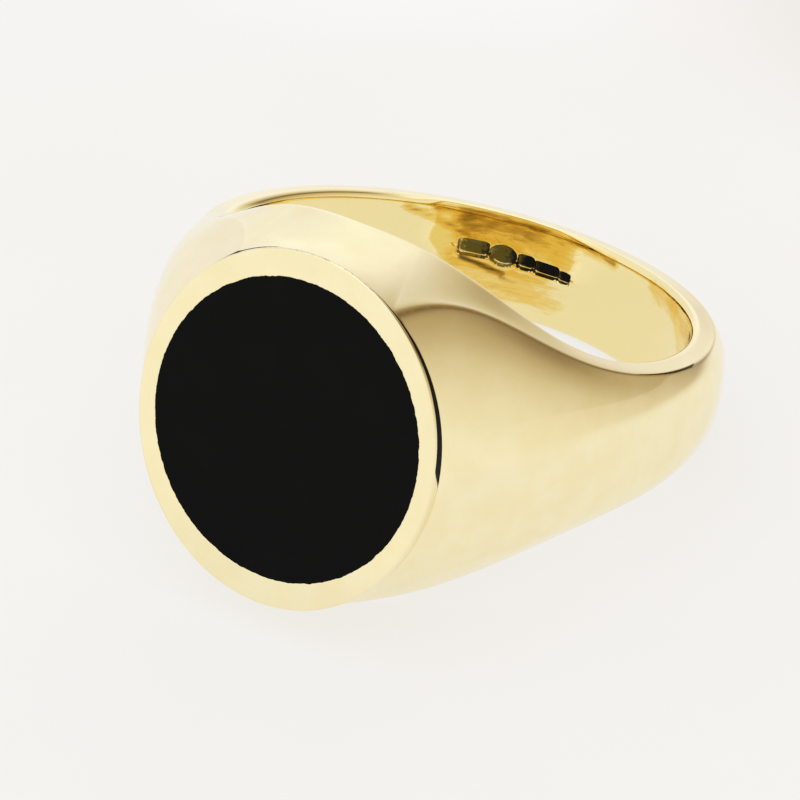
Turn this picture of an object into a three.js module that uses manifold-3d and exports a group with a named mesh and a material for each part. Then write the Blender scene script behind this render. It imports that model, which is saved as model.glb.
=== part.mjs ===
// A man's oval signet ring with a flat black stone let in flush with a gold rim.
// Lengths are in millimetres. Each piece is drawn in the ring's own axes: the finger goes
// through along Z, the head looks towards -Y, and the origin is the middle of the finger hole.
// An angle round the ring is 0 at the head and 180 degrees at the back of the shank.
// The whole ring is then laid on its side, as it rests on a table.

import * as THREE from 'three';
import { ParametricGeometry } from 'three/addons/geometries/ParametricGeometry.js';
import { mergeGeometries, mergeVertices } from 'three/addons/utils/BufferGeometryUtils.js';
import Module from 'manifold-3d';

const wasm = await Module();
wasm.setup();

const { degToRad, lerp, smoothstep } = THREE.MathUtils;

// Driving dimensions.
const boreRadius = 9.5; // finger hole, 19 mm inside diameter
const shankRadius = boreRadius + 1.65; // crown of the band
const shoulderLineRadius = boreRadius + 1.0; // line where the band's side face meets its crown
const headHeight = 13.35; // bore centre to the flat table
const tableHalfWide = 6.72; // oval table, across the hand
const tableHalfLong = 7.58; // oval table, along the finger
const stoneHalfWide = 5.95;
const stoneHalfLong = 6.37;
const stoneThickness = 1.13;
const cementThickness = 0.12;
const seamGap = 0.03; // clearance between neighbouring pieces

// The rim stands proud of the head by a small step, deeper at the sides than at the ends.
const stepAtSides = 0.43;
const stepAtEnds = 0.12;

// Half-width of the band along the finger: a slow taper to the back and a swell at the head.
const bandHalfWidth = 2.43;
const bandTaper = 0.88;
const headSwell = 4.44;
const headSwellAngle = degToRad(48);
const headSwellPower = 2.5;

// Towards its back the band is wider below its middle plane than above it.
const lowerReach = 0.8;
const lowerReachAngles = [degToRad(95), degToRad(150)];

// Soft edge of the finger hole, and how far the side face falls from it to the shoulder line.
const lipOut = 0.3;
const lipRise = 0.2;
const bandFaceFall = 0.16;
const faceFallAngle = degToRad(15);
const shoulderLineAngle = degToRad(9);

// Where on the table's oval the two shoulder lines start, measured from the side.
const cornerOnOval = degToRad(58.4);

// Roundness of the crown's section, and how soon it takes over from the oval.
const crownPower = 3;
const crownBlend = 0.1;

// Blank punched recesses inside the shank, struck by hand: length round the bore, width and
// offset along the finger, and angle round the ring.
const punchDepth = 0.15;
const punches = [
  { long: 1.3, wide: 0.7, offset: 0.09, corners: 4, angle: degToRad(203.3) },
  { long: 1.2, wide: 0.9, offset: 0.04, corners: 24, angle: degToRad(195.8) },
  { long: 0.62, wide: 0.66, offset: 0, corners: 8, angle: degToRad(189.9) },
  { long: 1.1, wide: 0.55, offset: -0.06, corners: 4, angle: degToRad(184.4) },
  { long: 0.55, wide: 0.5, offset: -0.13, corners: 4, angle: degToRad(179.5) },
];

// Number of steps along each stretch of the surface.
const shankSteps = 36;
const headSteps = 8;
const crownSteps = 12;
const faceSteps = 4;
const ovalSteps = 96;
const seatRows = 4;
const stationEase = 1.4; // above 1, shank stations crowd towards the head

// Sizes that follow from the driving dimensions.

// Distance from the bore centre to the head's top surface under the rim, at a place across it.
const seatHeight = (x) => headHeight - lerp(stepAtEnds, stepAtSides, (x / tableHalfWide) ** 2);

const ovalPoint = (turn) => {
  const x = tableHalfWide * Math.cos(turn);
  return new THREE.Vector3(x, -seatHeight(x), tableHalfLong * Math.sin(turn));
};

const corner = ovalPoint(cornerOnOval);
const cornerAngle = Math.atan2(corner.x, -corner.y);
const cornerRadius = Math.hypot(corner.x, corner.y);
const sideAngle = Math.atan2(tableHalfWide, seatHeight(tableHalfWide));
const sideRadius = Math.hypot(tableHalfWide, seatHeight(tableHalfWide));
const shoulderBend = (shankRadius - tableHalfWide) / seatHeight(tableHalfWide) ** 2;

const polar = (angle, radius, z) => (
  new THREE.Vector3(radius * Math.sin(angle), -radius * Math.cos(angle), z)
);

// Half-width of the finger hole's edge at an angle round the ring.
const boreHalfWidth = (angle) => (
  bandHalfWidth + bandTaper * Math.cos(angle)
  + headSwell * Math.exp(-((Math.abs(angle) / headSwellAngle) ** headSwellPower))
);

const lipHalfWidth = (angle) => boreHalfWidth(angle) + lipRise;

// How many times further than the upper half the lower half reaches from the middle plane.
const lowerStretch = (angle) => (
  1 + lowerReach * smoothstep(angle, ...lowerReachAngles) / lipHalfWidth(angle)
);

// The shoulder line comes down from the corner of the table to the band.
const cornerFall = lipHalfWidth(cornerAngle) - corner.z;

const shoulderLine = (angle) => {
  const past = angle - cornerAngle;
  const drop = Math.exp(-past / shoulderLineAngle);
  const fall = lerp(bandFaceFall, cornerFall, Math.exp(-past / faceFallAngle));
  return {
    radius: lerp(shoulderLineRadius, cornerRadius, drop),
    halfWidth: lipHalfWidth(angle) - fall,
  };
};

// Seen along the finger, the shoulder is a parabola from the table's side to the widest point
// of the shank, and from there on the shank is round.
const crownRadius = (angle) => {
  if (angle >= Math.PI / 2) return shankRadius;
  const across = Math.sin(angle);
  const bend = 2 * shoulderBend * Math.cos(angle) ** 2;
  return (Math.sqrt(across ** 2 + 2 * bend * shankRadius) - across) / bend;
};

// One half of the crown. "along" runs from the table to the back of the shank, and "across"
// from the lower shoulder line to the upper one.
const crownPoint = (along, across) => {
  const side = 2 * across - 1;
  const start = ovalPoint(cornerOnOval * side);
  const startAngle = Math.atan2(start.x, -start.y);
  const startRadius = Math.hypot(start.x, start.y);
  const line = shoulderLine(lerp(cornerAngle, Math.PI, along));
  const top = crownRadius(lerp(sideAngle, Math.PI, along));
  const oval = Math.exp(-along / crownBlend);
  const ovalRise = (startRadius - cornerRadius) / (sideRadius - cornerRadius);
  const bandRise = 1 - Math.abs(side) ** crownPower;
  const rise = lerp(bandRise, ovalRise, oval);
  const spread = lerp(side, start.z / corner.z, oval);
  return polar(
    lerp(startAngle, Math.PI, along),
    lerp(line.radius, top, rise),
    line.halfWidth * spread,
  );
};

// A turn round the ring, from -1 to 1, is split into the head and the two halves of the shank.
const headShare = headSteps / (headSteps + shankSteps);
const crownShare = (step) => Math.max(0, step) ** stationEase;
const station = (turn) => crownShare((Math.abs(turn) - headShare) / (1 - headShare));

const boreAngle = (turn) => {
  const side = Math.sign(turn);
  if (Math.abs(turn) <= headShare) return cornerAngle * turn / headShare;
  return side * lerp(cornerAngle, Math.PI, station(turn));
};

// Outer edge of the upper side face: the table's end between its corners, then the shoulder line.
const faceEdge = (turn) => {
  if (Math.abs(turn) <= headShare) {
    return ovalPoint(lerp(Math.PI / 2, cornerOnOval, turn / headShare));
  }
  const angle = boreAngle(turn);
  const line = shoulderLine(Math.abs(angle));
  return polar(angle, line.radius, line.halfWidth);
};

// The side face, from the edge of the finger hole over its soft lip to the outer edge.
const facePoint = (turn, out) => {
  const angle = boreAngle(turn);
  if (out === 0) return polar(angle, boreRadius, boreHalfWidth(angle));
  const lip = polar(angle, boreRadius + lipOut, lipHalfWidth(angle));
  const step = 1 / faceSteps;
  return lip.lerp(faceEdge(turn), (out - step) / (1 - step));
};

// Steps round the table's oval, counted so that they meet those of the crowns and side faces.
const ovalSeatSteps = 2 * crownSteps + 4 * headSteps;

const ovalTurn = (share) => {
  const step = share * ovalSeatSteps;
  if (step <= crownSteps) return lerp(-cornerOnOval, cornerOnOval, step / crownSteps);
  const past = step - crownSteps;
  if (past <= 2 * headSteps) {
    return lerp(cornerOnOval, Math.PI - cornerOnOval, past / (2 * headSteps));
  }
  return Math.PI + ovalTurn(share - 0.5);
};

// The seat under the rim, from its oval edge in to the middle.
const seatPoint = (share, inward) => {
  const edge = ovalPoint(ovalTurn(share));
  const x = edge.x * (1 - inward);
  return new THREE.Vector3(x, -seatHeight(x), edge.z * (1 - inward));
};

// A patch of surface. Its outside is where the cross product of its u and v directions points.
// "mirror" is a scale of 1 or -1 along X, Y and Z.
const patch = (pointAt, steps, rows, mirror = [1, 1, 1]) => {
  const scale = new THREE.Vector3(...mirror);
  return new ParametricGeometry((u, v, target) => {
    target.copy(pointAt(u, v)).multiply(scale);
  }, steps, rows);
};

// Joins patches along their shared edges and drops the triangles that have shrunk to a line.
const weld = (patches) => {
  const merged = mergeGeometries(patches);
  merged.deleteAttribute('normal');
  merged.deleteAttribute('uv');
  const joined = mergeVertices(merged, 1e-4);
  const kept = [];
  const index = joined.index.array;
  for (let i = 0; i < index.length; i += 3) {
    const [a, b, c] = index.slice(i, i + 3);
    if (a !== b && b !== c && c !== a) kept.push(a, b, c);
  }
  joined.setIndex(kept);
  return joined;
};

const toSolid = (geometry) => {
  const closed = weld([geometry]);
  return new wasm.Manifold(new wasm.Mesh({
    numProp: 3,
    vertProperties: closed.attributes.position.array,
    triVerts: new Uint32Array(closed.index.array),
  }));
};

const toGeometry = (solid) => {
  const mesh = solid.getMesh();
  const geometry = new THREE.BufferGeometry();
  geometry.setAttribute('position', new THREE.BufferAttribute(mesh.vertProperties, 3));
  geometry.setIndex(new THREE.BufferAttribute(mesh.triVerts, 1));
  geometry.computeVertexNormals();
  return geometry;
};

// A flat oval plate. Its outer face is at "top" from the bore centre, towards the table.
const ovalPlate = (halfWide, halfLong, top, thickness) => {
  const outline = new THREE.Shape();
  outline.absellipse(0, 0, halfWide, halfLong, 0, 2 * Math.PI);
  const options = { depth: thickness, bevelEnabled: false, curveSegments: ovalSteps / 2 };
  const plate = new THREE.ExtrudeGeometry(outline, options);
  plate.rotateX(Math.PI / 2);
  plate.translate(0, -top + thickness, 0);
  return plate;
};

// The depths of the layers in the head, from the table inwards.
const stoneBottom = headHeight - stoneThickness;
const cementTop = stoneBottom - seamGap;
const pocketFloor = cementTop - cementThickness - seamGap;
const pocketHalfWide = stoneHalfWide + seamGap;
const pocketHalfLong = stoneHalfLong + seamGap;

const widenLowerHalf = (skin) => {
  const points = skin.attributes.position;
  for (let i = 0; i < points.count; i += 1) {
    const angle = Math.atan2(Math.abs(points.getX(i)), -points.getY(i));
    if (points.getZ(i) < 0) points.setZ(i, points.getZ(i) * lowerStretch(angle));
  }
  return skin;
};

// Band, shoulders and head as one skin round the finger hole, before anything is cut from it.
const castingSkin = () => {
  const shank = headSteps + shankSteps;
  const turnOf = (u) => 2 * u - 1;
  const borePoint = (u, v) => {
    const angle = boreAngle(turnOf(u));
    return polar(angle, boreRadius, boreHalfWidth(angle) * (1 - 2 * v));
  };
  return widenLowerHalf(weld([
    patch(borePoint, 2 * shank, 1),
    patch((u, v) => facePoint(turnOf(u), 1 - v), 2 * shank, faceSteps),
    patch((u, v) => facePoint(turnOf(u), v), 2 * shank, faceSteps, [1, 1, -1]),
    patch((u, v) => crownPoint(crownShare(u), v), shankSteps, crownSteps),
    patch((u, v) => crownPoint(crownShare(u), 1 - v), shankSteps, crownSteps, [-1, 1, 1]),
    patch(seatPoint, ovalSeatSteps, seatRows),
  ]));
};

// A punch's prism, standing through the wall of the finger hole at its place.
const punchTool = ({ long, wide, offset, corners, angle }) => {
  const circumradius = 0.5 / Math.cos(Math.PI / corners);
  const tool = new THREE.CylinderGeometry(circumradius, circumradius, 2 * punchDepth, corners);
  tool.rotateY(Math.PI / corners);
  tool.scale(long, 1, wide);
  tool.translate(0, -boreRadius, offset);
  tool.rotateZ(angle);
  return tool;
};

// The gold casting: the skin, less the pocket for the stone and the punched recesses.
const ringBody = () => {
  const pocketDepth = headHeight - pocketFloor;
  const pocket = ovalPlate(pocketHalfWide, pocketHalfLong, headHeight, pocketDepth);
  const cuts = [pocket, ...punches.map(punchTool)];
  return toGeometry(cuts.reduce((left, cut) => left.subtract(toSolid(cut)), toSolid(castingSkin())));
};

// The oval frame round the stone. Its section has four corners, and its underside follows the
// curve of its seat.
const bezelRim = () => {
  const rimCorners = 4;
  const rimPoint = (u, v) => {
    const turn = 2 * Math.PI * u;
    const [outerX, outerZ] = [tableHalfWide * Math.cos(turn), tableHalfLong * Math.sin(turn)];
    const [innerX, innerZ] = [pocketHalfWide * Math.cos(turn), pocketHalfLong * Math.sin(turn)];
    const section = [
      new THREE.Vector3(outerX, -seatHeight(outerX) - seamGap, outerZ),
      new THREE.Vector3(outerX, -headHeight, outerZ),
      new THREE.Vector3(innerX, -headHeight, innerZ),
      new THREE.Vector3(innerX, -seatHeight(innerX) - seamGap, innerZ),
    ];
    return section[Math.round(v * rimCorners) % rimCorners];
  };
  return weld([patch(rimPoint, ovalSteps, rimCorners)]);
};

const onyxStone = () => ovalPlate(stoneHalfWide, stoneHalfLong, headHeight, stoneThickness);

const cementBed = () => ovalPlate(stoneHalfWide, stoneHalfLong, cementTop, cementThickness);

// Materials: polished yellow gold, polished black stone and pale cement.
const gold = () => new THREE.MeshStandardMaterial({
  color: 0xe6d08c,
  roughness: 0.12,
  metalness: 1,
});
const blackStone = () => new THREE.MeshStandardMaterial({
  color: 0x131314,
  roughness: 0.2,
  metalness: 0,
});
const cement = () => new THREE.MeshStandardMaterial({
  color: 0xcfc8b4,
  roughness: 0.8,
  metalness: 0,
});

const piece = (name, geometry, material) => {
  const mesh = new THREE.Mesh(geometry, material);
  mesh.name = name;
  return mesh;
};

const ring = new THREE.Group();
ring.name = 'signet_ring';
ring.add(
  piece('ring_body', ringBody(), gold()),
  piece('bezel_rim', bezelRim(), gold()),
  piece('onyx_stone', onyxStone(), blackStone()),
  piece('cement_bed', cementBed(), cement()),
);

// Laid on its side, the ring touches the table with the lip of the finger hole, at the head and
// at the back. The origin is the middle of its box, on the table.
const touchSpan = 2 * (boreRadius + lipOut);
const backHalfWidth = lipHalfWidth(Math.PI) * lowerStretch(Math.PI);
ring.rotation.x = -Math.atan2(lipHalfWidth(0) - backHalfWidth, touchSpan);
const box = new THREE.Box3().setFromObject(ring, true);
const middle = box.getCenter(new THREE.Vector3());
ring.position.set(-middle.x, -middle.y, -box.min.z);

export default ring;
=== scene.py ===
"""Looks of a man's signet ring: pale yellow gold, with a flat black stone let in flush.

Each piece is drawn in millimetres in the ring's own axes, as its CAD source draws it: the finger
goes through along Z, the head looks towards -Y, the origin is the middle of the finger hole, and an
angle round the ring is 0 at the head and 180 degrees at the back of the shank. A last step lays the
piece down where the CAD frame holds it, in metres.
"""

import math

import bmesh
import bpy
from mathutils import Matrix, Vector, noise


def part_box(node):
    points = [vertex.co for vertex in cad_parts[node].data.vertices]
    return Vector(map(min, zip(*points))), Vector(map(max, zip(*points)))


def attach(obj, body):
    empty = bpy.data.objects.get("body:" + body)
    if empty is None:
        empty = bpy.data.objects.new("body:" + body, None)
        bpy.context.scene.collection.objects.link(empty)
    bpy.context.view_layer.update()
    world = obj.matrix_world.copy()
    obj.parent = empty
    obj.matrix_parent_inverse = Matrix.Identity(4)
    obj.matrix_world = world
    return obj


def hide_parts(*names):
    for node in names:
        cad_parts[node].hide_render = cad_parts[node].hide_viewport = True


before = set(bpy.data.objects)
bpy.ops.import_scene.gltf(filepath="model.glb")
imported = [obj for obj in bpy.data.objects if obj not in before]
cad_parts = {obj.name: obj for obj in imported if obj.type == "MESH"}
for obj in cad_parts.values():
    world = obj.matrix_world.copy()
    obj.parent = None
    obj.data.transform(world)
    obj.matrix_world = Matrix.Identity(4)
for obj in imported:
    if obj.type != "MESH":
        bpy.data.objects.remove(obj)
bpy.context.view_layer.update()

MM = 0.001

# Driving dimensions, the same as in the CAD source.
BORE_RADIUS = 9.5
SHANK_RADIUS = 11.15
SHOULDER_LINE_RADIUS = 10.5
HEAD_HEIGHT = 13.35
TABLE_HALF_WIDE = 6.72
TABLE_HALF_LONG = 7.58
STONE_HALF_WIDE = 5.95
STONE_HALF_LONG = 6.37
STONE_THICKNESS = 1.13
CEMENT_THICKNESS = 0.12
SEAM_GAP = 0.03
STEP_AT_SIDES = 0.43
STEP_AT_ENDS = 0.12
BAND_HALF_WIDTH = 2.43
BAND_TAPER = 0.88
HEAD_SWELL = 4.44
HEAD_SWELL_ANGLE = math.radians(48)
HEAD_SWELL_POWER = 2.5
LOWER_REACH = 0.8
LOWER_REACH_ANGLES = (math.radians(95), math.radians(150))
LIP_OUT = 0.3
LIP_RISE = 0.2
BAND_FACE_FALL = 0.16
FACE_FALL_ANGLE = math.radians(15)
SHOULDER_LINE_ANGLE = math.radians(9)
CORNER_ON_OVAL = math.radians(58.4)
CROWN_POWER = 3
CROWN_BLEND = 0.1
PUNCH_DEPTH = 0.15

# Soft edges, which the CAD solids leave sharp. The shoulder line's rounding fades from its width at
# the table, which differs between the two hands, to its width on the shank.
LIP_ROUND = 0.3
SHANK_CREASE = 0.08
RIGHT_CREASE = 0.36
LEFT_CREASE = 0.1
CREASE_ANGLE = math.radians(8)
RIM_EDGE = 0.07
RIM_EDGE_ROUND = 0.3
STONE_EDGE = 0.03
STONE_FIT = 0.004

# The middle of a side face follows its outer edge with the corner rounded away over this angle.
CALM_ANGLE = math.radians(14)
CALM_STEPS = 5
CALM_POWER = 5

# The crown lies lower at the foot of the rim's wall: by how much, and how far out it does so.
FOOT_DROP = 0.11
FOOT_WIDTH = 0.33

# Painted shade at the foot of the rim's outer wall, black for a deep gap there that the mesh does
# not
# cut: where it is round the oval, and how high.
CREVICE_START = math.radians(-3)
CREVICE_WIDEST = math.radians(5)
CREVICE_END = math.radians(68)
CREVICE_HEIGHT = 0.46
CREVICE_BLUR = 0.05

# Painted shade on the head beside the rim's foot, a fainter tan line of painted shade on the rim's
# foot at its upper end, and a dark wedge of painted shade under the right shoulder line: places
# round the oval and angles round the ring.
FOOT_SHADE_DROP = 0.18
FOOT_SHADE_TURNS = (98, 116, 150, 164)
TAN_LINE_TURNS = (56, 66, 108, 128)
TAN_LINE_SHADE = 0.27
TAN_LINE_HEIGHT = 0.1
WEDGE_ANGLES = (66, 92, 92.5, 95)
WEDGE_WIDTH = 0.12
WEDGE_OVERLAP = 0.02
WEDGE_SHADE = 0.6

# Share of the table's size from which a point is on the rim's outer wall, or beside its foot.
ON_WALL = 0.995
BESIDE_WALL = 0.99

# The stone's edge is not quite true: how far it strays, how far to either side that is felt, how
# many times round the oval, and how deep and how many times as many its finer chips are. Nothing
# strays in the middle of the stone, up to a share of its size.
CHIP_DEPTH = 0.035
CHIP_REACH = 0.3
CHIPS_ROUND = 15
FINE_CHIP_SHARE = 0.7
FINE_CHIPS = 3
TRUE_MIDDLE = 0.5

# Five worn marks struck into the bore at the back, with plain outlines and nothing written in them:
# length round the ring, width, place along the finger hole, power of the outline (2 is an oval and
# more is squarer), angle round the ring, strength of the shade painted into the mark's hollow.
PUNCH_MARKS = (
    (1.36, 0.7, 0.09, 8, 203.3, 0.6),
    (1.24, 0.9, 0.04, 2, 195.8, 0.66),
    (0.8, 0.64, 0.0, 4, 189.9, 0.9),
    (1.2, 0.6, -0.06, 6, 184.4, 1.0),
    (0.66, 0.52, -0.13, 5, 179.5, 1.0),
)
PUNCH_WALL = 0.06
PUNCH_BURR = 0.02

# The burr's place outside a mark's edge, in widths of its wall. How much lighter a mark's painted
# shade is at one end than at the other, and between which shares of its width the painted shade
# ends at its lower wall.
BURR_PLACE = 0.6
LIGHTER_END = 0.5
UNSHADED_WALL = (-0.25, -0.375)

# The finer patch of the bore that the marks are struck into: its first and last angle round the
# ring, its half-width, and how many times its edges are cut.
PUNCH_PATCH = (174.5, 208.5, 0.8)
PUNCH_CUTS = 5

# The bore leans back above the marks, and swells into a welt below them: how far in millimetres,
# over which places along the finger hole, and over which angles round the ring.
LEAN_BACK = 0.19
LEAN_BACK_POWER = 1.3
LEAN_BACK_SIDE = (-0.2, 1.5)
LEAN_BACK_ANGLES = (166, 186, 209, 221)
WELT_HEIGHT = 0.12
WELT_SIDE = -0.95
WELT_WIDTHS = (0.35, 1.1)
WELT_ANGLES = (176, 191, 206, 217)

# Where the bore is painted amber, a painted reflection of the light that bounces about between its
# gold walls: over which angles round the ring, and places along the finger hole. How dark it is
# there below and above the marks, and between which places that changes.
AMBER_REFLECTION_ANGLES = (172, 188, 205, 216)
AMBER_REFLECTION_SIDES = (-2.3, -1.3, 1.6, 1.9)
AMBER_REFLECTION_LEVELS = (0.75, 1.4)
AMBER_REFLECTION_RISE = (0.3, 1.2)

# How the marks' depth, the strain and the painted amber reflection stray: how far, and how often in
# a millimetre.
# The first strays by a share of the depth, and the others by degrees round the ring.
DEPTH_STRAY = (0.15, 2.5)
STRAIN_STRAY = (2, 0.8)
AMBER_REFLECTION_STRAY = (4, 1.1)

# Darker streaks in the painted amber reflection. Each runs from one place to another, given as an
# angle round the ring and a place along the finger hole, and has a half-width and a strength.
AMBER_REFLECTION_STREAKS = (
    (221, 1.5, 205, 0.6, 0.26, 1.15),
    (206, -0.36, 195, -0.72, 0.2, 1.75),
    (196, -0.95, 188, -0.8, 0.2, 1.25),
    (214, 1.5, 166, 1.4, 0.24, 1.2),
    (150, 1.35, 122, 1.3, 0.45, 0.8),
)

# Steps of the cages that are subdivided into smooth surfaces.
HEAD_STEPS = 8
SHANK_STEPS = 44
STATION_EASE = 1.4
FOOT_STATION = 0.0022
CROWN_ROWS = 5
OVAL_STEPS = 128
WALL_STEPS = 4
CAGE_LEVELS = 2
WELD_DISTANCE = 1e-4

# Rows of the body's cage: shares of the bore's half-width, steps round its lip, and shares of the
# side face. The first row of a side face keeps close to the lip, and its last ones to the shoulder
# line, by no more than a share of the face.
BORE_ROWS = (0, 0.45, 0.8, 0.94)
LIP_STEPS = 4
FACE_ROWS = (0.35, 0.6, 0.8)
FIRST_ROW = 0.15
FIRST_ROW_SHARE = 0.2
CREASE_SHARE = 0.3

# How many times longer the domed crown's section is than its half-width.
DOME_LENGTH = 1.2

# Rows of the rim's flat face, as shares of its width.
RIM_FACE_ROWS = (0.3, 0.7)

POCKET_HALF_WIDE = STONE_HALF_WIDE + SEAM_GAP
POCKET_HALF_LONG = STONE_HALF_LONG + SEAM_GAP
CEMENT_TOP = HEAD_HEIGHT - STONE_THICKNESS - SEAM_GAP
POCKET_FLOOR = CEMENT_TOP - CEMENT_THICKNESS - SEAM_GAP


def lerp(a, b, share):
    return a + (b - a) * share


def clamp(value, low=0.0, high=1.0):
    return max(low, min(high, value))


def ease(value, start, full):
    """0 up to start, 1 from full on, and a smooth rise between. full may be the lower one."""
    share = clamp((value - start) / (full - start))
    return share * share * (3 - 2 * share)


def window(value, start, full, fade, end):
    """0 outside start to end, 1 from full to fade, and smooth between."""
    return ease(value, start, full) * ease(value, end, fade)


def stray(point, reach, scale):
    """Smooth noise from -reach to reach at a point."""
    return reach * noise.noise(point * scale)


# The ring's surfaces, as in the CAD source.


def polar(angle, radius, z):
    return Vector((radius * math.sin(angle), -radius * math.cos(angle), z))


def seat_height(x):
    """Distance from the bore centre to the head's top under the rim, at a place across it."""
    return HEAD_HEIGHT - lerp(STEP_AT_ENDS, STEP_AT_SIDES, (x / TABLE_HALF_WIDE) ** 2)


def oval_point(turn):
    x = TABLE_HALF_WIDE * math.cos(turn)
    return Vector((x, -seat_height(x), TABLE_HALF_LONG * math.sin(turn)))


CORNER = oval_point(CORNER_ON_OVAL)
CORNER_ANGLE = math.atan2(CORNER.x, -CORNER.y)
CORNER_RADIUS = math.hypot(CORNER.x, CORNER.y)
SIDE_HEIGHT = seat_height(TABLE_HALF_WIDE)
SIDE_ANGLE = math.atan2(TABLE_HALF_WIDE, SIDE_HEIGHT)
SIDE_RADIUS = math.hypot(TABLE_HALF_WIDE, SIDE_HEIGHT)
SHOULDER_BEND = (SHANK_RADIUS - TABLE_HALF_WIDE) / SIDE_HEIGHT**2
CROWN_LENGTH = (math.pi - SIDE_ANGLE) * SHANK_RADIUS


def bore_half_width(angle):
    swell = math.exp(-((abs(angle) / HEAD_SWELL_ANGLE) ** HEAD_SWELL_POWER))
    return BAND_HALF_WIDTH + BAND_TAPER * math.cos(angle) + HEAD_SWELL * swell


def lip_half_width(angle):
    return bore_half_width(angle) + LIP_RISE


def lower_stretch(angle):
    """How many times further than the upper half the lower half reaches from the middle plane."""
    return 1 + LOWER_REACH * ease(abs(angle), *LOWER_REACH_ANGLES) / lip_half_width(angle)


def widened(point):
    """The point where it lies once the lower half of the band is widened."""
    if point.z >= 0:
        return point
    stretch = lower_stretch(math.atan2(point.x, -point.y))
    return Vector((point.x, point.y, point.z * stretch))


CORNER_FALL = lip_half_width(CORNER_ANGLE) - CORNER.z


def shoulder_line(angle):
    """Radius and half-width of the line where the side face meets the crown."""
    past = angle - CORNER_ANGLE
    radius = lerp(SHOULDER_LINE_RADIUS, CORNER_RADIUS, math.exp(-past / SHOULDER_LINE_ANGLE))
    fall = lerp(BAND_FACE_FALL, CORNER_FALL, math.exp(-past / FACE_FALL_ANGLE))
    return radius, lip_half_width(angle) - fall


def crown_radius(angle):
    """A parabola from the table's side to the widest point of the shank, and then a circle."""
    if angle >= math.pi / 2:
        return SHANK_RADIUS
    across = math.sin(angle)
    bend = 2 * SHOULDER_BEND * math.cos(angle) ** 2
    return (math.sqrt(across**2 + 2 * bend * SHANK_RADIUS) - across) / bend


def foot_drop(along, side):
    """How far the crown lies lower at the foot of the rim's wall, so that it leaves it flatter."""
    return FOOT_DROP * (1 - side**4) * math.exp(-along * CROWN_LENGTH / FOOT_WIDTH)


def crown_point(along, side):
    """A point of the crown. along runs from the table to the back, and side from -1 to 1."""
    start = oval_point(CORNER_ON_OVAL * side)
    start_angle = math.atan2(start.x, -start.y)
    start_radius = math.hypot(start.x, start.y)
    line_radius, half_width = shoulder_line(lerp(CORNER_ANGLE, math.pi, along))
    top = crown_radius(lerp(SIDE_ANGLE, math.pi, along))
    oval = math.exp(-along / CROWN_BLEND)
    oval_rise = (start_radius - CORNER_RADIUS) / (SIDE_RADIUS - CORNER_RADIUS)
    rise = lerp(1 - abs(side) ** CROWN_POWER, oval_rise, oval)
    spread = lerp(side, start.z / CORNER.z, oval)
    point = polar(
        lerp(start_angle, math.pi, along), lerp(line_radius, top, rise), half_width * spread
    )
    return point + Vector((0, foot_drop(along, side), 0))


def crease_softness(angle):
    """How far the shoulder line's rounding reaches: wide at the table and narrow on the shank."""
    past = max(0.0, abs(angle) - CORNER_ANGLE)
    head_crease = LEFT_CREASE if angle < 0 else RIGHT_CREASE
    return lerp(SHANK_CREASE, head_crease, math.exp(-past / CREASE_ANGLE))


# Cages: grids of points that are welded along shared edges and then subdivided.


def alongs():
    """Stations of a half of the crown, crowded at the table."""
    even = [(step / SHANK_STEPS) ** STATION_EASE for step in range(1, SHANK_STEPS + 1)]
    return [0.0, FOOT_STATION, *even]


def stations():
    """Angle round the ring of each of its sections."""
    right = [lerp(CORNER_ANGLE, math.pi, along) for along in alongs()]
    head = [CORNER_ANGLE * step / HEAD_STEPS for step in range(1 - HEAD_STEPS, HEAD_STEPS)]
    left = [-angle for angle in reversed(right)]
    return left + head + right


def face_edge(angle):
    """The side face's outer edge: the table's end, and the shoulder line on both sides of it."""
    if abs(angle) <= CORNER_ANGLE:
        return oval_point(lerp(math.pi / 2, CORNER_ON_OVAL, angle / CORNER_ANGLE))
    radius, half_width = shoulder_line(abs(angle))
    return polar(angle, radius, half_width)


def calm_edge(angle):
    """The same edge with its corner rounded away, which the middle of the side face follows."""
    steps = range(-CALM_STEPS, CALM_STEPS + 1)
    weights = [math.cos(math.pi / 2 * step / (CALM_STEPS + 1)) ** 2 for step in steps]
    total = Vector()
    for step, weight in zip(steps, weights):
        total += weight * face_edge(angle + CALM_ANGLE * step / CALM_STEPS)
    return total / sum(weights)


def side_section(angle):
    """From the middle of the finger hole over its lip and across the side face to its edge."""
    half_width = bore_half_width(angle)
    lip_base = half_width + LIP_RISE - LIP_ROUND
    points = [polar(angle, BORE_RADIUS, lip_base * share) for share in BORE_ROWS]
    for step in range(LIP_STEPS):
        lip_turn = math.pi / 2 * step / LIP_STEPS
        radius = BORE_RADIUS + LIP_OUT * (1 - math.cos(lip_turn))
        points.append(polar(angle, radius, lip_base + LIP_ROUND * math.sin(lip_turn)))
    lip = polar(angle, BORE_RADIUS + LIP_OUT, lip_half_width(angle))
    edge = face_edge(angle)
    calm = calm_edge(angle)
    width = (edge - lip).length
    soft = min(crease_softness(angle) / width, CREASE_SHARE)
    first = min(FIRST_ROW / width, FIRST_ROW_SHARE)
    last = 1 - 2 * soft
    shares = [0, first, *(lerp(first, last, row) for row in FACE_ROWS), last, 1 - soft, 1]
    return points + [lip.lerp(calm.lerp(edge, share**CALM_POWER), share) for share in shares]


def crown_sides(along, hand=1):
    """Places across the crown, with two rows close to each shoulder line to shape its rounding.

    hand is 1 for the right crown and -1 for the left one.
    """
    angle = lerp(CORNER_ANGLE, math.pi, along)
    soft = crease_softness(hand * angle) / (DOME_LENGTH * shoulder_line(angle)[1])
    inner = [(1 - 2 * soft) * row / CROWN_ROWS for row in range(CROWN_ROWS + 1)]
    half = [*inner, 1 - soft, 1.0]
    return [-side for side in reversed(half[1:])] + half


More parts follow.
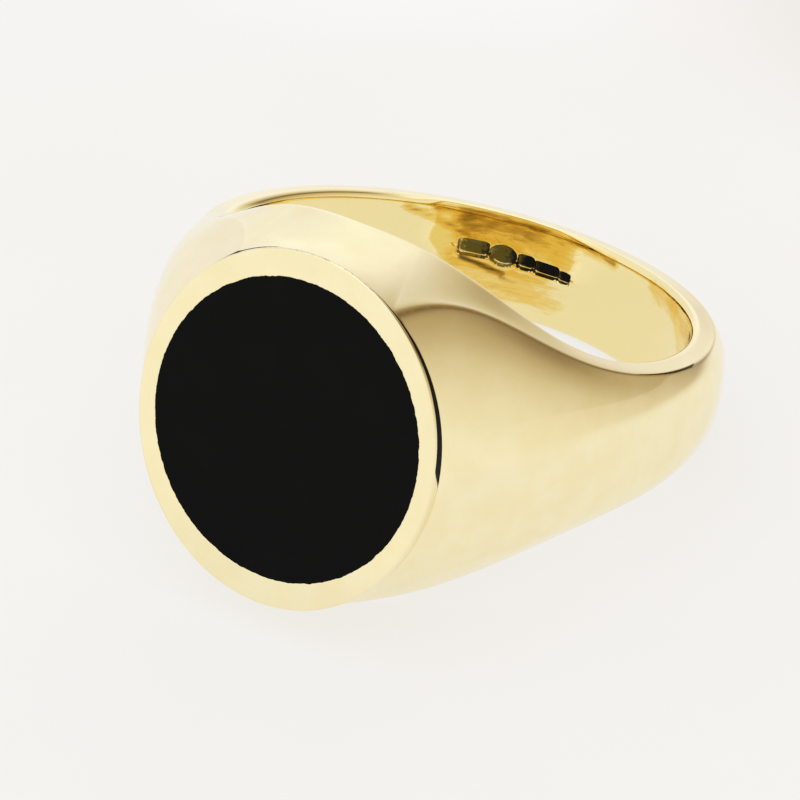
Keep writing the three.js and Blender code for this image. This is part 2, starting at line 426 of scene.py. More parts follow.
def head_turns():
    """Places round the table's oval, the same as those of the surfaces that meet it there."""
    steps = range(1, 2 * HEAD_STEPS)
    end = [lerp(CORNER_ON_OVAL, math.pi - CORNER_ON_OVAL, s / (2 * HEAD_STEPS)) for s in steps]
    right = [CORNER_ON_OVAL * side for side in crown_sides(0.0)] + end
    left = [CORNER_ON_OVAL * side for side in crown_sides(0.0, hand=-1)] + end
    return right + [turn + math.pi for turn in left]


def on_oval(point, half_wide, half_long):
    """Where a point stands over an oval: its turn round it, and its distance as a share of it."""
    across = point.x / half_wide
    along = point.z / half_long
    return math.atan2(along, across), math.hypot(across, along)


def head_edge(turns):
    """The edge of the head under the rim, a little lower at both sides, where a crown starts."""
    ring = []
    for turn in turns:
        side = math.asin(math.sin(turn)) / CORNER_ON_OVAL
        ring.append(oval_point(turn) + Vector((0, foot_drop(0.0, clamp(side, -1, 1)), 0)))
    return ring


def ellipse_ring(turns, half_wide, half_long, height):
    """A ring of points on an ellipse. height is a number or a function of the place across."""
    ring = []
    for turn in turns:
        x = half_wide * math.cos(turn)
        level = height(x) if callable(height) else height
        ring.append(Vector((x, -level, half_long * math.sin(turn))))
    return ring


def mirrored(rows, x=1, z=1):
    """The rows mirrored across X or Z. Their order turns round, so that they still face out."""
    return [[Vector((p.x * x, p.y, p.z * z)) for p in row] for row in reversed(rows)]


def to_micrometre(point):
    return tuple(round(c, 3) for c in point)


class Cage:
    """Quads gathered from grids of points."""

    def __init__(self):
        self.points = []
        self.faces = []

    def add_rows(self, rows, closed=False):
        width = len(rows[0])
        first = len(self.points)
        for row in rows:
            self.points.extend(row)
        for i in range(len(rows) - 1):
            for j in range(width if closed else width - 1):
                a = first + i * width + j
                b = first + i * width + (j + 1) % width
                self.faces.append((a, b, b + width, a + width))

    def add_cap(self, ring):
        """A ring closed by a smaller ring and one flat face."""
        middle = sum(ring, Vector()) / len(ring)
        inner = [point.lerp(middle, 0.5) for point in ring]
        self.add_rows([ring, inner], closed=True)
        first = len(self.points)
        self.points.extend(inner)
        self.faces.append(tuple(range(first, first + len(inner))))

    def to_object(self, name, sharp=()):
        """A closed mesh object in millimetres. Edges between sharp points stay sharp."""
        mesh = bpy.data.meshes.new(name)
        mesh.from_pydata(self.points, [], self.faces)
        bm = bmesh.new()
        bm.from_mesh(mesh)
        bmesh.ops.remove_doubles(bm, verts=bm.verts, dist=WELD_DISTANCE)
        bmesh.ops.dissolve_degenerate(bm, edges=bm.edges, dist=WELD_DISTANCE)
        bmesh.ops.recalc_face_normals(bm, faces=bm.faces)
        crease = bm.edges.layers.float.new("crease_edge")
        kept = {to_micrometre(point) for point in sharp}
        for edge in bm.edges:
            if all(to_micrometre(vert.co) in kept for vert in edge.verts):
                edge[crease] = 1.0
        bm.to_mesh(mesh)
        bm.free()
        piece = bpy.data.objects.new(name, mesh)
        bpy.context.scene.collection.objects.link(piece)
        return piece


def apply_modifiers(piece):
    bpy.context.view_layer.update()
    graph = bpy.context.evaluated_depsgraph_get()
    mesh = bpy.data.meshes.new_from_object(piece.evaluated_get(graph))
    piece.modifiers.clear()
    piece.data = mesh


def subdivide(piece):
    modifier = piece.modifiers.new("smooth", "SUBSURF")
    modifier.levels = CAGE_LEVELS
    modifier.render_levels = CAGE_LEVELS
    modifier.use_limit_surface = False
    apply_modifiers(piece)


def shade(piece, sharp_degrees=35):
    piece.data.shade_smooth()
    piece.data.set_sharp_from_angle(angle=math.radians(sharp_degrees))


# Where the ring lies: it leans from the lip at its head to the lip at its back.
BACK_HALF_WIDTH = lip_half_width(math.pi) * lower_stretch(math.pi)
TILT = math.atan2(lip_half_width(0) - BACK_HALF_WIDTH, 2 * (BORE_RADIUS + LIP_OUT))
LEAN = Matrix.Rotation(-TILT, 4, "X")


def ring_to_row():
    """The matrix from the ring's axes, in millimetres, to the CAD frame, in metres."""
    stone_low, stone_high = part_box("onyx_stone")
    stone_middle = Vector((0, STONE_THICKNESS / 2 - HEAD_HEIGHT, 0))
    shift = (stone_low + stone_high) / 2 - MM * (LEAN @ stone_middle)
    return Matrix.Translation(shift) @ Matrix.Scale(MM, 4) @ LEAN


RING_TO_ROW = ring_to_row()


def lay_down(piece, node, material):
    """Lays a finished piece down in the frame, where it stands for its CAD node."""
    piece.data.transform(RING_TO_ROW)
    piece.data.materials.append(material)
    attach(piece, "root")
    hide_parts(node)


# The pieces.


def crown_rows(hand):
    """The crown's points, drawn on the right, with the creases of the right or the left hand."""
    return [[crown_point(along, side) for side in crown_sides(along, hand)] for along in alongs()]


def body_cage():
    cage = Cage()
    upper = [side_section(angle) for angle in stations()]
    cage.add_rows(upper)
    cage.add_rows(mirrored(upper, z=-1))
    cage.add_rows(crown_rows(hand=1))
    cage.add_rows(mirrored(crown_rows(hand=-1), x=-1))
    turns = head_turns()
    table = head_edge(turns)
    pocket_edge = ellipse_ring(turns, POCKET_HALF_WIDE, POCKET_HALF_LONG, seat_height)
    pocket_base = ellipse_ring(turns, POCKET_HALF_WIDE, POCKET_HALF_LONG, POCKET_FLOOR)
    cage.add_rows([table, pocket_edge, pocket_base], closed=True)
    cage.add_cap(pocket_base)
    cage.points = [widened(point) for point in cage.points]
    return cage.to_object("gold_body", sharp=table + pocket_edge + pocket_base)


def ring_angle(point):
    """Angle round the ring in degrees, from 0 to 360."""
    return math.degrees(math.atan2(point.x, -point.y)) % 360


def mark_depth(point):
    """Share of a mark's full depth at a point of the bore, the shade painted into the mark, and the
    burr beside it.
    """
    depth = 0.0
    shade_amount = 0.0
    burr = 0.0
    for long, wide, offset, power, angle, darkness in PUNCH_MARKS:
        round_ring = math.radians(ring_angle(point) - angle) * BORE_RADIUS
        off_centre = point.z - offset
        reach = abs(2 * round_ring / long) ** power + abs(2 * off_centre / wide) ** power
        inside = (1 - reach ** (1 / power)) * min(long, wide) / 2
        unshaded = PUNCH_WALL * ease(off_centre / wide, *UNSHADED_WALL)
        shade_here = darkness - LIGHTER_END * round_ring / long
        shade_amount = max(shade_amount, shade_here * ease(inside, unshaded, unshaded + PUNCH_WALL))
        depth = max(depth, ease(inside, 0, PUNCH_WALL))
        if off_centre < 0:
            burr = max(burr, math.exp(-((inside / PUNCH_WALL + BURR_PLACE) ** 2)))
    return depth, shade_amount, burr * PUNCH_BURR * (1 - depth)


def bore_strain(point):
    """How far the strikes have driven the bore outwards, in millimetres."""
    angle = ring_angle(point) + stray(point, *STRAIN_STRAY)
    low, high = LEAN_BACK_SIDE
    lean = max(0.0, (point.z - low) / (high - low)) ** LEAN_BACK_POWER
    width = WELT_WIDTHS[1] if point.z > WELT_SIDE else WELT_WIDTHS[0]
    welt = math.exp(-(((point.z - WELT_SIDE) / width) ** 2))
    return (
        LEAN_BACK * lean * window(angle, *LEAN_BACK_ANGLES)
        - WELT_HEIGHT * welt * window(angle, *WELT_ANGLES)
    )


def streak_share(angle, side, streak):
    """How close a place in the bore is to the middle of a streak, from 0 to 1."""
    first_angle, first_side, last_angle, last_side, half_width, _ = streak
    start = Vector((math.radians(first_angle) * BORE_RADIUS, first_side))
    run = Vector((math.radians(last_angle) * BORE_RADIUS, last_side)) - start
    here = Vector((math.radians(angle) * BORE_RADIUS, side)) - start
    share = clamp(here.dot(run) / run.length_squared)
    return math.exp(-(((here - run * share).length / half_width) ** 2))


def amber_reflection_share(point):
    """How dark the painted amber reflection is at a place in the bore: 1 is amber, and above that
    brown.
    """
    angle = ring_angle(point)
    streaks = [streak_share(angle, point.z, streak) * streak[-1] for streak in AMBER_REFLECTION_STREAKS]
    angle += stray(point, *AMBER_REFLECTION_STRAY)
    field = window(angle, *AMBER_REFLECTION_ANGLES) * window(point.z, *AMBER_REFLECTION_SIDES)
    level = lerp(*AMBER_REFLECTION_LEVELS, ease(point.z, *AMBER_REFLECTION_RISE))
    return max(level * field, *streaks)


def strain_bore(body):
    """Moves the bore's surface where strained; says where it is bore and where amber reflection is
    painted.
    """
    bore = body.data.attributes.new("bore", "FLOAT", "POINT")
    amber_reflection = body.data.attributes.new("amber_reflection", "FLOAT", "POINT")
    for vert in body.data.vertices:
        radius = math.hypot(vert.co.x, vert.co.y)
        angle = math.atan2(vert.co.x, -vert.co.y)
        reach = lip_half_width(angle) * (lower_stretch(angle) if vert.co.z < 0 else 1)
        if abs(vert.co.z) > reach:
            continue
        share = clamp((BORE_RADIUS + LIP_OUT - radius) / LIP_OUT)
        bore.data[vert.index].value = share
        amber_reflection.data[vert.index].value = share * amber_reflection_share(vert.co)
        if share > 0:
            vert.co = polar(angle, radius + share**2 * bore_strain(vert.co), vert.co.z)


def strike_marks(body):
    """Strikes the marks into a finer patch of the bore, and says where shade is painted into them.
    """
    first, last, half_width = PUNCH_PATCH

    def in_patch(vert):
        on_bore = math.hypot(vert.co.x, vert.co.y) < BORE_RADIUS + LIP_OUT / 2
        return on_bore and first < ring_angle(vert.co) < last and abs(vert.co.z) < half_width

    bm = bmesh.new()
    bm.from_mesh(body.data)
    painted_shade = bm.verts.layers.float.new("painted_shade")
    patch = {face for face in bm.faces if all(in_patch(vert) for vert in face.verts)}
    struck = [vert for vert in bm.verts if not patch.isdisjoint(vert.link_faces)]
    edges = [edge for edge in bm.edges if not patch.isdisjoint(edge.link_faces)]
    radius = sum(math.hypot(vert.co.x, vert.co.y) for vert in struck) / len(struck)
    bmesh.ops.subdivide_edges(bm, edges=edges, cuts=PUNCH_CUTS, use_grid_fill=True)
    for vert in bm.verts:
        if not in_patch(vert):
            continue
        depth, shade_amount, burr = mark_depth(vert.co)
        uneven = 1 + stray(vert.co, *DEPTH_STRAY)
        new_radius = radius + depth * PUNCH_DEPTH * uneven - burr
        angle = math.radians(ring_angle(vert.co))
        vert.co = polar(angle, new_radius, vert.co.z)
        vert[painted_shade] = shade_amount
    bm.to_mesh(body.data)
    bm.free()


def mark_foot(body):
    """Paints shade on the head beside the foot of the rim's wall."""
    painted_shade = body.data.attributes["painted_shade"]
    for vert in body.data.vertices:
        turn, share = on_oval(vert.co, TABLE_HALF_WIDE, TABLE_HALF_LONG)
        if vert.co.y > -BORE_RADIUS or share < BESIDE_WALL:
            continue
        drop = vert.co.y - head_edge([turn])[0].y
        near = ease(drop, FOOT_SHADE_DROP, FOOT_SHADE_DROP / 2)
        painted_shade.data[vert.index].value = near * window(math.degrees(turn), *FOOT_SHADE_TURNS)


def mark_wedge(body):
    """Paints a dark wedge of shade under the right shoulder line."""
    painted_shade = body.data.attributes["painted_shade"]
    for vert in body.data.vertices:
        angle = math.atan2(vert.co.x, -vert.co.y)
        width = WEDGE_WIDTH * window(math.degrees(angle), *WEDGE_ANGLES)
        if width == 0 or vert.co.z < 0:
            continue
        line_radius, half_width = shoulder_line(angle)
        outwards = math.hypot(vert.co.x, vert.co.y) - line_radius
        below = half_width - vert.co.z
        if min(outwards, below) > -WEDGE_OVERLAP:
            away = math.hypot(outwards, below) / width
            painted_shade.data[vert.index].value = WEDGE_SHADE * math.exp(-(away**2))


def ring_body(material):
    body = body_cage()
    subdivide(body)
    strike_marks(body)
    strain_bore(body)
    mark_foot(body)
    mark_wedge(body)
    shade(body)
    lay_down(body, "ring_body", material)


def rim_section(turn):
    """The rim's section at a place round its oval, from its inner foot over its flat face."""
    inner = Vector((POCKET_HALF_WIDE * math.cos(turn), 0, POCKET_HALF_LONG * math.sin(turn)))
    outer = Vector((TABLE_HALF_WIDE * math.cos(turn), 0, TABLE_HALF_LONG * math.sin(turn)))
    seat = -head_edge([turn])[0].y
    width = (outer - inner).length
    edge = RIM_EDGE / width
    profile = [
        (0, seat_height(inner.x)),
        (0, HEAD_HEIGHT - STONE_EDGE),
        (0, HEAD_HEIGHT - STONE_EDGE / 3),
        (STONE_EDGE / 3 / width, HEAD_HEIGHT),
        (2 * STONE_EDGE / width, HEAD_HEIGHT),
        *((row, HEAD_HEIGHT) for row in RIM_FACE_ROWS),
        (1 - 2 * edge, HEAD_HEIGHT),
        (1 - edge, HEAD_HEIGHT),
        (1 - RIM_EDGE_ROUND * edge, HEAD_HEIGHT - RIM_EDGE_ROUND * RIM_EDGE),
    ]
    for step in range(WALL_STEPS + 1):
        profile.append((1, lerp(HEAD_HEIGHT - RIM_EDGE, seat, step / WALL_STEPS)))
    return [inner.lerp(outer, share) - Vector((0, height, 0)) for share, height in profile]


def fray(piece):
    """Moves the seam between stone and rim in and out, the same way on both pieces."""
    for vert in piece.data.vertices:
        turn, share = on_oval(vert.co, POCKET_HALF_WIDE, POCKET_HALF_LONG)
        if share < TRUE_MIDDLE:
            continue
        reach = (share - 1) * POCKET_HALF_WIDE / CHIP_REACH
        here = Vector((math.cos(turn), math.sin(turn), 0))
        chip = stray(here, CHIP_DEPTH, CHIPS_ROUND)
        chip += stray(here, CHIP_DEPTH * FINE_CHIP_SHARE, CHIPS_ROUND * FINE_CHIPS)
        move = 1 + chip * math.exp(-(reach**2)) / POCKET_HALF_WIDE
        vert.co.x *= move
        vert.co.z *= move


def crevice_height(turn):
    """How high the painted shade stands against the rim's outer wall."""
    share = clamp((CREVICE_END - turn) / (CREVICE_END - CREVICE_WIDEST))
    return CREVICE_HEIGHT * share * ease(turn, CREVICE_START, CREVICE_WIDEST)


def mark_crevice(rim):
    """Paints shade on the rim's outer wall: black for a deep gap at its foot, and fainter at its
    upper end.
    """
    painted_shade = rim.data.attributes.new("painted_shade", "FLOAT", "POINT")
    for vert in rim.data.vertices:
        turn, share = on_oval(vert.co, TABLE_HALF_WIDE, TABLE_HALF_LONG)
        if share < ON_WALL:
            continue
        above = -vert.co.y + head_edge([turn])[0].y
        top = crevice_height(turn)
        # Black painted shade for the gap at the foot of the wall.
        shade_amount = ease(above, top + CREVICE_BLUR / 2, top - CREVICE_BLUR / 2)
        # A fainter tan line of painted shade low on the wall, near its upper end.
        olive_shade = TAN_LINE_SHADE * window(math.degrees(turn), *TAN_LINE_TURNS) * (above < TAN_LINE_HEIGHT)
        painted_shade.data[vert.index].value = max(shade_amount, olive_shade)


def bezel_rim(material):
    turns = [2 * math.pi * step / OVAL_STEPS for step in range(OVAL_STEPS)]
    rows = [rim_section(turn) for turn in turns]
    cage = Cage()
    cage.add_rows([*rows, rows[0]])
    cage.add_rows([[row[-1] for row in rows], [row[0] for row in rows]], closed=True)
    sharp = [point for row in rows for point in (row[0], row[-1])]
    rim = cage.to_object("gold_rim", sharp=sharp)
    subdivide(rim)
    fray(rim)
    mark_crevice(rim)
    shade(rim, sharp_degrees=50)
    lay_down(rim, "bezel_rim", material)


def plate(name, half_wide, half_long, top, thickness, edge):
    """A flat oval plate with softened edges."""
    turns = [2 * math.pi * step / OVAL_STEPS for step in range(OVAL_STEPS)]
    levels = [
        (edge, top),
        (edge / 3, top - edge / 6),
        (0, top - edge),
        (0, top - thickness + edge),
        (edge, top - thickness),
    ]
    rings = [ellipse_ring(turns, half_wide - inset, half_long - inset, h) for inset, h in levels]
    cage = Cage()
    cage.add_rows(rings, closed=True)
    cage.add_cap(rings[0])
    cage.add_cap(rings[-1])
    return cage.to_object(name)


def onyx_stone(material):
    stone = plate(
        "black_stone",
        POCKET_HALF_WIDE - STONE_FIT,
        POCKET_HALF_LONG - STONE_FIT,
        HEAD_HEIGHT,
        STONE_THICKNESS,
        STONE_EDGE,
    )
    subdivide(stone)
    fray(stone)
    shade(stone)
    lay_down(stone, "onyx_stone", material)


def cement_bed(material):
    bed = plate(
        "setting_cement", STONE_HALF_WIDE, STONE_HALF_LONG, CEMENT_TOP, CEMENT_THICKNESS, SEAM_GAP
    )
    subdivide(bed)
    shade(bed)
    lay_down(bed, "cement_bed", material)


# Materials. Their patterns are in millimetres.

PALE_GOLD = (0.975, 0.885, 0.585, 1)
DEEP_GOLD = (0.955, 0.85, 0.53, 1)
# A deeper gold painted inside the finger hole, a painted reflection of the light bouncing about in
# it.
BORE_REFLECTION_GOLD = (0.95, 0.82, 0.42, 1)
AMBER_GOLD = (0.88, 0.62, 0.15, 1)
BROWN_GOLD = (0.55, 0.32, 0.06, 1)
# Olive and black are painted shade, olive where it is faint and black where it is full. The olive
# is also the darkest step of the painted amber reflection in the bore.
OLIVE_SHADE = (0.12, 0.1, 0.03, 1)
SHADE_BLACK = (0.0045, 0.004, 0.0042, 1)
ONYX = (0.003, 0.003, 0.0031, 1)
ONYX_HAZE = (0.0038, 0.0038, 0.0039, 1)
CEMENT_GREYS = ((0.25, 0.24, 0.21, 1), (0.42, 0.4, 0.36, 1))

# Noise patterns: scale, detail, and where they are streaky how much finer along each axis. The
# levels are the part of the noise that a pattern spreads out.
GOLD_CLOUD = (0.7, 4.0)
GOLD_CLOUD_LEVELS = (0.3, 0.7)
GOLD_POLISH = (3.0, 5.0)
GOLD_POLISH_LEVELS = (0.3, 0.75)
GOLD_SWELL = (0.3, 1.0)
SHADE_SPECKLE = (7.0, 4.0)
AMBER_REFLECTION_FLOW = (0.6, 2.0, (1, 1, 1.5))
AMBER_REFLECTION_LINES = (1.4, 3.0, (1, 1, 5))
STONE_HAZE = (0.5, 5.0)
STONE_HAZE_LEVELS = (0.4, 0.75)
CEMENT_LUMPS = (4.0, 6.0)
CEMENT_LUMP_LEVELS = (0.2, 0.8)
CEMENT_LUMP_DEPTH = 0.01

# Fine polishing lines: scale, and how much finer the noise is along each axis.
LINES_ALONG = (2.2, (1, 9, 1))
LINES_ACROSS = (2.6, (8, 1, 1.6))
STONE_LINES = (3.0, (1, 7, 1))
LINE_LEVELS = (0.64, 0.7)
LINE_DETAIL = 2.0
LINE_DEPTH = 0.0006
STONE_LINE_DEPTH = 0.0004

# How much a pattern changes the amount of painted shade and of painted amber reflection, and
# between which amounts each colour takes over from the one before.
SPECKLE_SHARE = 0.4
AMBER_REFLECTION_SPREAD = 1.2
AMBER_REFLECTION_ONSET = 0.3
OLIVE_SHADE_LEVELS = (0.2, 0.5)
SHADE_BLACK_LEVELS = (0.65, 0.9)
AMBER_LEVELS = (0.2, 0.85)
BROWN_LEVELS = (0.9, 1.4)
OLIVE_LEVELS = (1.3, 1.9)

# Roughness, from the best polished places to the most worn ones, and what a polishing line adds.
GOLD_ROUGHNESS = (0.05, 0.085)
GOLD_LINE_ROUGHNESS = 0.04
SHADE_BLACK_ROUGHNESS = 0.6
STONE_ROUGHNESS = (0.08, 0.14)
STONE_LINE_ROUGHNESS = 0.1
CEMENT_ROUGHNESS = (0.75, 0.95)

# Depth of the slow waves that hand polishing leaves.
BODY_WAVE = 0.004
RIM_WAVE = 0.001


class Nodes:
    """Adds nodes to one node tree. A value given to a node may be the output of another node."""

    def __init__(self, tree):
        self.tree = tree

    def feed(self, node, inputs):
        """Sets a node's inputs, and links those whose value is another node's output."""
        for name, value in inputs.items():
            if isinstance(value, bpy.types.NodeSocket):
                self.tree.links.new(value, node.inputs[name])
            else:
                node.inputs[name].default_value = value

    def add(self, kind, inputs, output=0, **settings):
        node = self.tree.nodes.new(kind)
        for name, value in settings.items():
            setattr(node, name, value)
        self.feed(node, inputs)
        return node.outputs[output]

    def maths(self, operation, first, second=0.0):
        return self.add("ShaderNodeMath", {0: first, 1: second}, operation=operation)

    def ramp(self, value, low, high, to_low=0.0, to_high=1.0):
        """Spreads the range from low to high over the range from to_low to to_high."""
        return self.add(
            "ShaderNodeMapRange",
            {"Value": value, 1: low, 2: high, 3: to_low, 4: to_high},
            interpolation_type="SMOOTHSTEP",
        )

    def blend(self, share, first, second):
        """Mixes two colours."""
        return self.add("ShaderNodeMix", {0: share, 6: first, 7: second}, 2, data_type="RGBA")

    def parts(self, vector):
        """The three numbers of a vector."""
        split = self.tree.nodes.new("ShaderNodeSeparateXYZ")
        self.tree.links.new(vector, split.inputs[0])
        return split.outputs[:3]


class Finish(Nodes):
    """A material with one surface shader, and the nodes that feed it."""

    def __init__(self, name):
        self.material = bpy.data.materials.new(name)
        self.material.use_nodes = True
        super().__init__(self.material.node_tree)
        self.surface = self.tree.nodes["Principled BSDF"]
        place = self.tree.nodes.new("ShaderNodeTexCoord").outputs["Object"]
        self.place = self.scaled(place, (1 / MM, 1 / MM, 1 / MM))

    def scaled(self, place, scale):
        return self.add("ShaderNodeMapping", {"Vector": place, "Scale": scale})

    def noise(self, scale, detail, stretch=(1, 1, 1)):
        place = self.scaled(self.place, stretch)
        return self.add("ShaderNodeTexNoise", {"Vector": place, "Scale": scale, "Detail": detail})

    def even_noise(self, *pattern):
        """Noise that is as often below 0 as above it."""
        return self.maths("SUBTRACT", self.noise(*pattern), 0.5)

    def lines(self, scale, stretch):
        """Sparse fine lines, 1 in a line and 0 between lines."""
        return self.ramp(self.noise(scale, LINE_DETAIL, stretch), *LINE_LEVELS)

    def bump(self, height, depth, normal=None):
        """Bump of a depth in millimetres, on top of an earlier bump if there is one."""
        inputs = {"Height": height, "Distance": depth * MM, "Strength": 1.0}
        if normal:
            inputs["Normal"] = normal
        return self.add("ShaderNodeBump", inputs)

    def attribute(self, name):
        return self.add("ShaderNodeAttribute", {}, "Fac", attribute_name=name)


def gold_with_bore_reflection(gold):
    """The gold's own colour, with a deeper gold painted inside the finger hole as a painted
    reflection of the light that bounces about in it.
    """
    cloud = gold.ramp(gold.noise(*GOLD_CLOUD), *GOLD_CLOUD_LEVELS)
    return gold.blend(gold.attribute("bore"), gold.blend(cloud, PALE_GOLD, DEEP_GOLD), BORE_REFLECTION_GOLD)


def with_amber_reflection(gold, colour):
    """The colour with the streaky amber reflection that is painted where the mesh's attribute for
    it says.
    """
    amber_reflection = gold.attribute("amber_reflection")
    pattern = gold.maths("ADD", gold.even_noise(*AMBER_REFLECTION_FLOW), gold.even_noise(*AMBER_REFLECTION_LINES))
    reach = gold.ramp(amber_reflection, 0.0, AMBER_REFLECTION_ONSET, 0.0, AMBER_REFLECTION_SPREAD)
    reflected = gold.maths("ADD", amber_reflection, gold.maths("MULTIPLY", pattern, reach))
    colour = gold.blend(gold.ramp(reflected, *AMBER_LEVELS), colour, AMBER_GOLD)
    colour = gold.blend(gold.ramp(reflected, *BROWN_LEVELS), colour, BROWN_GOLD)
    return gold.blend(gold.ramp(reflected, *OLIVE_LEVELS), colour, OLIVE_SHADE)


def gold_material(name, wave):
    """Polished gold of a pale yellow colour, with shade painted in, olive to black, where the
    mesh's attribute for it says.
    """
    gold = Finish(name)
    # Noise makes the edges of the painted shade ragged.
    speckle = gold.maths("MULTIPLY", gold.even_noise(*SHADE_SPECKLE), SPECKLE_SHARE)
    shade_amount = gold.maths("ADD", gold.attribute("painted_shade"), speckle)
    olive_shade = gold.ramp(shade_amount, *OLIVE_SHADE_LEVELS)
    painted_shade = gold.ramp(shade_amount, *SHADE_BLACK_LEVELS)
    colour = gold.blend(olive_shade, with_amber_reflection(gold, gold_with_bore_reflection(gold)), OLIVE_SHADE)
    lines = gold.maths("MAXIMUM", gold.lines(*LINES_ALONG), gold.lines(*LINES_ACROSS))
    polish = gold.ramp(gold.noise(*GOLD_POLISH), *GOLD_POLISH_LEVELS, *GOLD_ROUGHNESS)
    worn = gold.maths("ADD", polish, gold.maths("MULTIPLY", lines, GOLD_LINE_ROUGHNESS))
    swell = gold.bump(gold.noise(*GOLD_SWELL), wave)
    gold.feed(
        gold.surface,
        {
            "Base Color": gold.blend(painted_shade, colour, SHADE_BLACK),
            "Metallic": gold.ramp(painted_shade, 0.0, 1.0, 1.0, 0.0),
            "Roughness": gold.ramp(painted_shade, 0.0, 1.0, worn, SHADE_BLACK_ROUGHNESS),
            "Specular IOR Level": 0.1,
            "Normal": gold.bump(lines, -LINE_DEPTH, swell),
        },
    )
    return gold.material


def stone_material():
    """Polished black onyx with a faint haze and the finest of hairlines."""
    stone = Finish("black_stone")
    haze = stone.ramp(stone.noise(*STONE_HAZE), *STONE_HAZE_LEVELS)
    lines = stone.lines(*STONE_LINES)
    polish = stone.ramp(haze, 0.0, 1.0, *STONE_ROUGHNESS)
    worn = stone.maths("ADD", polish, stone.maths("MULTIPLY", lines, STONE_LINE_ROUGHNESS))
    stone.feed(
        stone.surface,
        {
            "Base Color": stone.blend(haze, ONYX, ONYX_HAZE),
            "Roughness": worn,
            "Specular IOR Level": 0.05,
            "Normal": stone.bump(lines, -STONE_LINE_DEPTH),
        },
    )
    return stone.material


def cement_material():
    """Grey setting cement, matt and a little lumpy."""
    cement = Finish("cement")
    lumps = cement.noise(*CEMENT_LUMPS)
    cement.feed(
        cement.surface,
        {
            "Base Color": cement.blend(lumps, *CEMENT_GREYS),
            "Roughness": cement.ramp(lumps, *CEMENT_LUMP_LEVELS, *CEMENT_ROUGHNESS),
            "Normal": cement.bump(lumps, CEMENT_LUMP_DEPTH),
        },
    )
    return cement.material


# The setting: floor, light and camera.


# The studio's light round the ring, by direction in degrees: 0 is the front of the ring, where the
# head looks, and 90 its right. A white room with one dim brown gap between its lamps.
LIGHT_ROUND = (
    (0, (0.97, 0.96, 0.92)),
    (80, (0.93, 0.9, 0.84)),
    (102, (0.84, 0.79, 0.67)),
    (124, (0.7, 0.62, 0.47)),
    (143, (0.5, 0.4, 0.25)),
    (155, (0.2, 0.13, 0.065)),
    (164, (0.38, 0.29, 0.17)),
    (174, (0.64, 0.57, 0.43)),
    (186, (0.8, 0.75, 0.72)),
    (200, (0.99, 0.98, 0.99)),
    (216, (1.03, 1.05, 1.07)),
    (230, (0.9, 0.88, 0.9)),
    (290, (0.94, 0.92, 0.89)),
    (330, (0.99, 0.99, 0.96)),
    (360, (0.97, 0.96, 0.92)),
)

# The light from above, the heights between which it takes over, and how the dim gap leans.
LIGHT_ABOVE = (1.15, 1.15, 1.15, 1)
ABOVE_HEIGHTS = (math.radians(45), math.radians(65))
GAP_SLANT = 0.42

# The floor's size in metres, its tone near the ring, the distances between which it takes over the
# room's tone instead, and how bright that is.
FLOOR_SIZE = 4
FLOOR_TINT = (0.715, 0.709, 0.7, 1)
FLOOR_SPREAD = (26, 46)
FLOOR_FAR_GLOW = 0.79
FLOOR_GREYS = ((0.2, 0.195, 0.187, 1), (0.22, 0.215, 0.207, 1))
FLOOR_ROUGHNESS = (0.8, 0.9)
FLOOR_MOTTLE = (0.12, 5.0)
FLOOR_MOTTLE_LEVELS = (0.3, 0.7)


def room_colour(nodes, x, y, lean=0.0):
    """The room's light in the direction x, y. lean turns the room by an angle."""
    turn = nodes.maths("ADD", nodes.maths("ARCTAN2", nodes.maths("MULTIPLY", x, -1.0), y), lean)
    share = nodes.maths("ADD", nodes.maths("DIVIDE", turn, 2 * math.pi), 0.5)
    ramp = nodes.tree.nodes.new("ShaderNodeValToRGB")
    stops = ramp.color_ramp.elements
    stops.remove(stops[-1])
    stops[0].color = (*LIGHT_ROUND[0][1], 1)
    for degrees, colour in LIGHT_ROUND[1:]:
        stops.new(degrees / 360).color = (*colour, 1)
    nodes.tree.links.new(share, ramp.inputs[0])
    return ramp.outputs[0]


def floor_material():
    """A softly lit white board, which takes the tone of the room away from its middle."""
    board = Finish("pale_floor")
    mottle = board.noise(*FLOOR_MOTTLE)
    away = board.add("ShaderNodeVectorMath", {0: board.place}, "Value", operation="LENGTH")
    x, y, _ = board.parts(board.place)
    room = room_colour(board, x, y)
    board.feed(
        board.surface,
        {
            "Base Color": board.blend(mottle, *FLOOR_GREYS),
            "Roughness": board.ramp(mottle, *FLOOR_MOTTLE_LEVELS, *FLOOR_ROUGHNESS),
            "Specular IOR Level": 0.0,
            "Emission Color": board.blend(board.ramp(away, *FLOOR_SPREAD), FLOOR_TINT, room),
            "Emission Strength": board.ramp(away, *FLOOR_SPREAD, 1.0, FLOOR_FAR_GLOW),
        },
    )
    return board.material


def pale_floor():
    bpy.ops.mesh.primitive_plane_add(size=FLOOR_SIZE)
    floor = bpy.context.object
    floor.name = "pale_floor"
    floor.data.materials.append(floor_material())


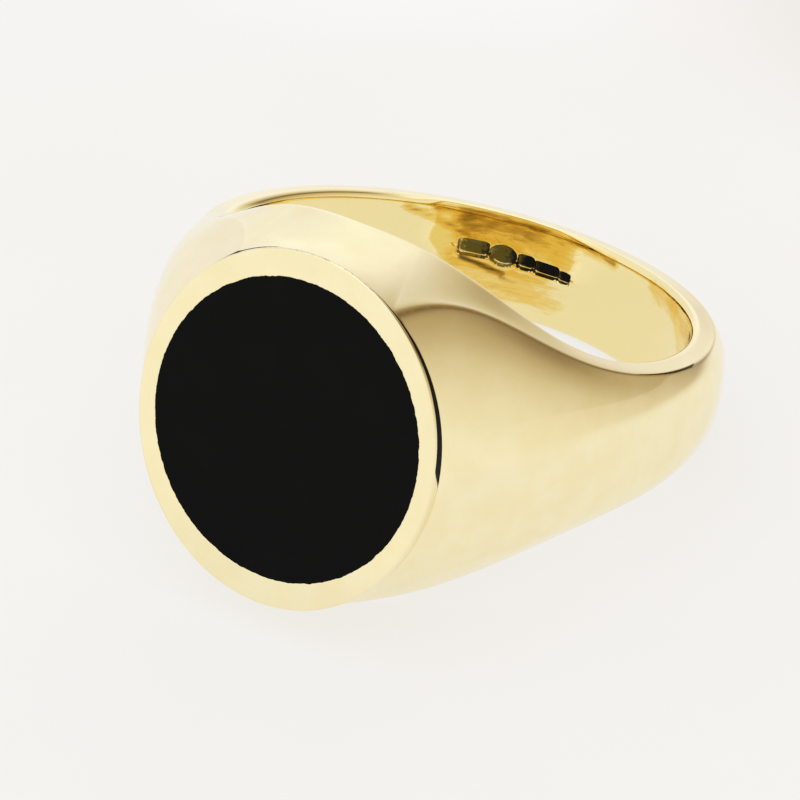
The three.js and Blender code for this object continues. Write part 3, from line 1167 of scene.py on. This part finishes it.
def studio_light():
    """A world that gives plain soft light, as lamps round and above a small table do."""
    world = bpy.data.worlds.new("studio")
    bpy.context.scene.world = world
    world.use_nodes = True
    sky = Nodes(world.node_tree)
    x, y, z = sky.parts(sky.add("ShaderNodeTexCoord", {}, "Generated"))
    height = sky.maths("ARCSINE", z)
    room = room_colour(sky, x, y, sky.maths("MULTIPLY", height, GAP_SLANT))
    light = sky.blend(sky.ramp(height, *ABOVE_HEIGHTS), room, LIGHT_ABOVE)
    sky.feed(sky.tree.nodes["Background"], {"Color": light})
    bpy.context.scene.view_settings.view_transform = "Standard"


# The camera looks at the ring from this way in the ring's own axes. Lengths are in millimetres, and
# the offset is where the bore's centre stands in the picture, from its middle.
VIEW_AZIMUTH = math.radians(25.34)
VIEW_ELEVATION = math.radians(23.22)
VIEW_ROLL = math.radians(10.23)
VIEW_DISTANCE = 833.3
VIEW_WIDTH = 32.1
VIEW_OFFSET = (1.97, 2.472)


def camera():
    level = Vector((math.cos(VIEW_AZIMUTH), math.sin(VIEW_AZIMUTH), 0))
    front = Vector((math.sin(VIEW_AZIMUTH), -math.cos(VIEW_AZIMUTH), 0))
    back = front * math.cos(VIEW_ELEVATION) + Vector((0, 0, math.sin(VIEW_ELEVATION)))
    right = Matrix.Rotation(VIEW_ROLL, 3, back) @ level
    up = back.cross(right)
    eye = VIEW_DISTANCE * back - VIEW_OFFSET[0] * right - VIEW_OFFSET[1] * up
    axes = Matrix((right, up, back)).transposed().to_4x4()
    data = bpy.data.cameras.new("camera")
    data.angle = 2 * math.atan(VIEW_WIDTH / 2 / VIEW_DISTANCE)
    view = bpy.data.objects.new("camera", data)
    bpy.context.scene.collection.objects.link(view)
    view.matrix_world = Matrix.Translation(RING_TO_ROW @ eye) @ LEAN @ axes
    bpy.context.scene.camera = view


ring_body(gold_material("gold", BODY_WAVE))
bezel_rim(gold_material("gold_rim", RIM_WAVE))
onyx_stone(stone_material())
cement_bed(cement_material())
pale_floor()
studio_light()
camera()
